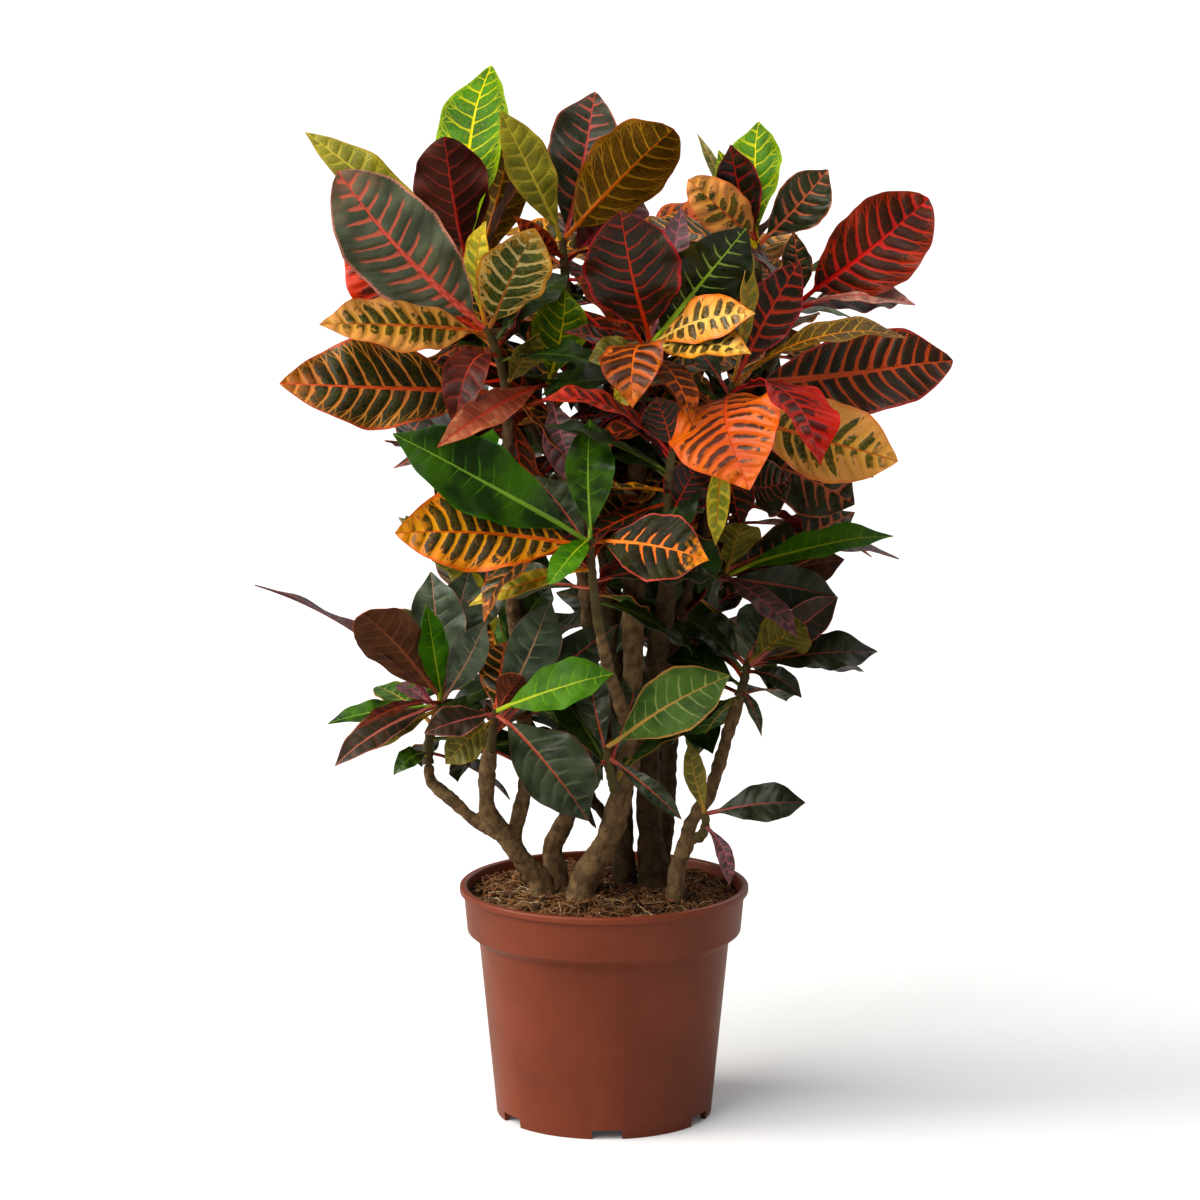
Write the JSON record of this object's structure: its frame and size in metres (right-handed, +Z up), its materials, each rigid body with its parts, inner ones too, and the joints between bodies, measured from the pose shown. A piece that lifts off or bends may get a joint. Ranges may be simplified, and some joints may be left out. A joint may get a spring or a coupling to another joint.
{
  "type": "potted croton",
  "caption": "Bushy croton with broad glossy leaves veined in orange, crimson and lime, on woody stems in a terracotta-coloured nursery pot.",
  "frame": {"origin": "on the standing surface, on the pot's axis", "axes": "+Z up along the pot's axis, -Y towards the viewer of the front, +X to that viewer's right"},
  "size_m": [0.4926, 0.4122, 0.7624],
  "materials": {
    "pot": "satin moulded terracotta-coloured plastic",
    "soil": "rough peat with coir fibre and fine roots",
    "bark": "grey-brown bark with leaf scars",
    "leaf_amber": "ochre leaf with dark green islands",
    "leaf_blaze": "orange-red leaf with dark stripes",
    "leaf_bright": "plain mid green leaf",
    "leaf_crimson": "olive-black leaf with crimson veins",
    "leaf_dusk": "dark grey-green leaf with a coral midrib",
    "leaf_ember": "dark green leaf with orange veins",
    "leaf_gloss": "glossy deep green leaf with a lime midrib",
    "leaf_lime": "bright green leaf with lime veins",
    "leaf_maroon": "chocolate-brown underside with a crimson midrib",
    "leaf_rose": "glossy dark leaf with pink veins",
    "leaf_sage": "grey-green leaf with pale veins",
    "leaf_tan": "olive-brown underside with tan veins"
  },
  "bodies": {
    "root": {"pot": "pot", "soil": "soil", "wood_left": "bark", "wood_left_back": "bark", "wood_front": "bark", "wood_middle": "bark", "wood_right": "bark", "wood_right_front": "bark", "wood_back": "bark", "wood_back_right": "bark", "shoot_left_top": "leaf_ember", "shoot_left_high": "leaf_lime", "shoot_middle_top": "leaf_tan", "shoot_centre_front": "leaf_crimson", "shoot_right_front": "leaf_blaze", "shoot_right_top": "leaf_amber", "shoot_right_high": "leaf_crimson", "shoot_centre_low": "leaf_crimson", "shoot_right_inner": "leaf_rose", "shoot_left_inner": "leaf_dusk", "shoot_front_big": "leaf_gloss", "shoot_right_mid": "leaf_bright", "shoot_right_low": "leaf_dusk", "shoot_front_low": "leaf_sage", "shoot_left_low_front": "leaf_bright", "shoot_left_low": "leaf_maroon", "shoot_right_foot": "leaf_dusk", "shoot_back_left_high": "leaf_ember", "shoot_back_mid_high": "leaf_gloss", "shoot_back_right_high": "leaf_crimson", "shoot_back_left": "leaf_gloss", "shoot_back_mid": "leaf_ember", "shoot_back_right": "leaf_rose", "shoot_back_low_left": "leaf_dusk", "shoot_back_low_right": "leaf_sage"}
  },
  "joints": []
}
